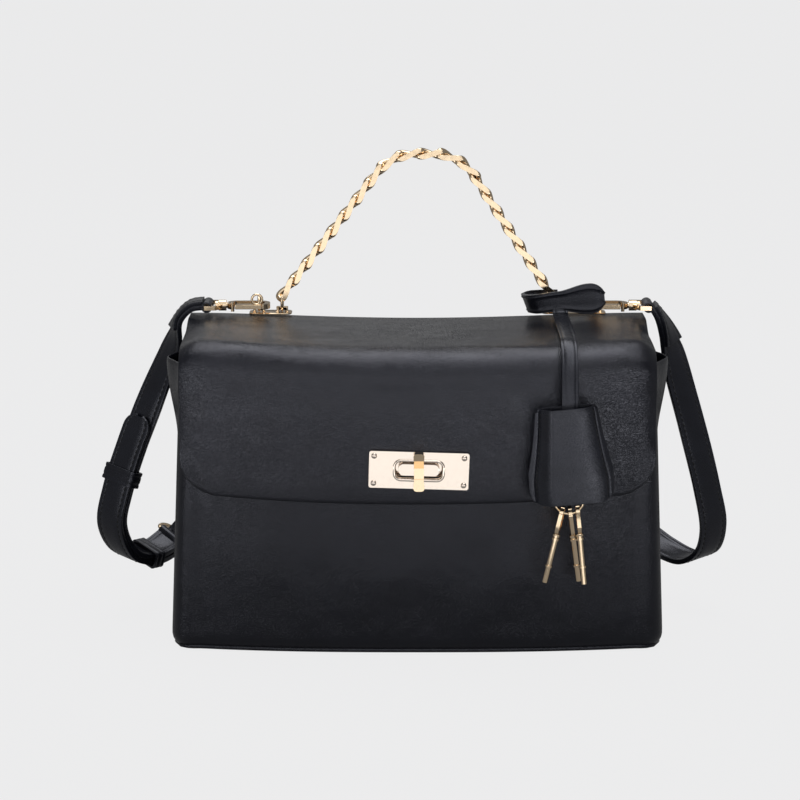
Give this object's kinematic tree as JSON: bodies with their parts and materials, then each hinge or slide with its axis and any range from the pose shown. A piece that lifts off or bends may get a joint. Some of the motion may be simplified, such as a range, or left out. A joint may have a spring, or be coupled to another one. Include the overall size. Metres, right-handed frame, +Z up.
{
  "type": "flap handbag",
  "caption": "Soft black leather handbag with a fold-over flap, turn lock, curb chain handle, clip-on buckled shoulder strap and a bell-shaped key fob.",
  "frame": {"origin": "centre of the base underside, on the surface that the bag stands on", "axes": "+X to the bag's right as seen from the front, +Y from the front to the back, +Z up"},
  "size_m": [0.3585, 0.1648, 0.2675],
  "materials": {
    "body_leather": "soft gloss",
    "strap_leather": "soft gloss",
    "lining_cloth": "matte",
    "stiff_board": "matte",
    "pale_gold": "polished",
    "zinc": "satin"
  },
  "bodies": {
    "case": {"front_panel": "body_leather", "back_panel": "body_leather", "base_panel": "body_leather", "base_board": "stiff_board", "gusset_left": "body_leather", "gusset_right": "body_leather", "lining": "lining_cloth", "lock_base": "pale_gold", "lock_washer": "zinc", "ring_base_left": "pale_gold", "ring_base_right": "pale_gold", "ring_left": "pale_gold", "ring_right": "pale_gold", "chain_end_left": "pale_gold", "chain_end_right": "pale_gold", "hook_left": "pale_gold", "hook_right": "pale_gold", "fob_loop": "strap_leather"},
    "flap": {"flap_leather": "body_leather", "flap_lining": "lining_cloth", "lock_plate": "pale_gold", "lock_plate_backing": "pale_gold", "fob_strap_top": "strap_leather"},
    "turn_knob": {"turn_knob": "pale_gold"},
    "handle": {"chain_link_01": "pale_gold", "chain_link_02": "pale_gold", "chain_link_03": "pale_gold", "chain_link_04": "pale_gold", "chain_link_05": "pale_gold", "chain_link_06": "pale_gold", "chain_link_07": "pale_gold", "chain_link_08": "pale_gold", "chain_link_09": "pale_gold", "chain_link_10": "pale_gold", "chain_link_11": "pale_gold", "chain_link_12": "pale_gold", "chain_link_13": "pale_gold", "chain_link_14": "pale_gold", "chain_link_15": "pale_gold", "chain_link_16": "pale_gold", "chain_link_17": "pale_gold", "chain_link_18": "pale_gold", "chain_link_19": "pale_gold", "chain_link_20": "pale_gold"},
    "gate_left": {"gate_left": "pale_gold"},
    "gate_right": {"gate_right": "pale_gold"},
    "shoulder_strap": {"swivel_left": "pale_gold", "swivel_right": "pale_gold", "strap_short": "strap_leather", "strap_long": "strap_leather", "buckle_frame": "pale_gold", "keeper_fixed": "strap_leather"},
    "buckle_prong": {"buckle_prong": "pale_gold"},
    "keeper_slide": {"keeper_slide": "strap_leather"},
    "fob": {"fob_strap": "strap_leather"},
    "clochette": {"clochette": "strap_leather"},
    "key_ring": {"key_ring": "pale_gold"},
    "key_1": {"key_1": "pale_gold"},
    "key_2": {"key_2": "pale_gold"},
    "key_3": {"key_3": "pale_gold"}
  },
  "joints": [
    {"name": "flap_open", "type": "hinge", "parent": "case", "child": "flap", "pos_m": [0, 0.0195, 0.1735], "axis": [-1, 0, 0], "range_deg": [0, 90]},
    {"name": "lock_turn", "type": "hinge", "parent": "case", "child": "turn_knob", "pos_m": [0.0005, -0.062, 0.1065], "axis": [0, 1, 0], "range_deg": [0, 90]},
    {"name": "handle_swing", "type": "hinge", "parent": "case", "child": "handle", "pos_m": [0, 0.0385, 0.18], "axis": [-1, 0, 0], "range_deg": [-48, 42]},
    {"name": "strap_swing", "type": "hinge", "parent": "case", "child": "shoulder_strap", "pos_m": [0, 0.03225, 0.17865], "axis": [1, 0, 0], "range_deg": [-3, 8]},
    {"name": "gate_left_open", "type": "hinge", "parent": "case", "child": "gate_left", "pos_m": [-0.1032, 0.02665, 0.17865], "axis": [0, 0, 1], "range_deg": [0, 12], "stiffness_Nm_per_rad": 0.002},
    {"name": "gate_right_open", "type": "hinge", "parent": "case", "child": "gate_right", "pos_m": [0.1152, 0.02665, 0.17865], "axis": [0, 0, -1], "range_deg": [0, 12], "stiffness_Nm_per_rad": 0.002},
    {"name": "buckle_prong_lift", "type": "hinge", "parent": "shoulder_strap", "child": "buckle_prong", "pos_m": [-0.143, 0.057, 0.037], "axis": [-0.7335, 0.4691, 0.4919], "range_deg": [0, 40]},
    {"name": "keeper_slide_along", "type": "slide", "parent": "shoulder_strap", "child": "keeper_slide", "axis": [0.3024, 0.1114, 0.9466], "range_m": [-0.005, 0.005]},
    {"name": "fob_lift", "type": "hinge", "parent": "flap", "child": "fob", "pos_m": [0.08, -0.0546, 0.1671], "axis": [-1, 0, 0], "range_deg": [0, 40]},
    {"name": "clochette_slide_up", "type": "slide", "parent": "fob", "child": "clochette", "axis": [0, 0, 1], "range_m": [0, 0.009]},
    {"name": "key_ring_swing", "type": "hinge", "parent": "fob", "child": "key_ring", "pos_m": [0.08, -0.067, 0.0995], "axis": [-1, 0, 0], "range_deg": [-3, 10]},
    {"name": "key_1_swing", "type": "hinge", "parent": "key_ring", "child": "key_1", "pos_m": [0.07662, -0.067, 0.08425], "axis": [-1, 0, 0], "range_deg": [-4, 30]},
    {"name": "key_2_swing", "type": "hinge", "parent": "key_ring", "child": "key_2", "pos_m": [0.08084, -0.067, 0.08354], "axis": [-1, 0, 0], "range_deg": [-4, 4]},
    {"name": "key_3_swing", "type": "hinge", "parent": "key_ring", "child": "key_3", "pos_m": [0.0847, -0.067, 0.08503], "axis": [-1, 0, 0], "range_deg": [-1, 30]}
  ]
}
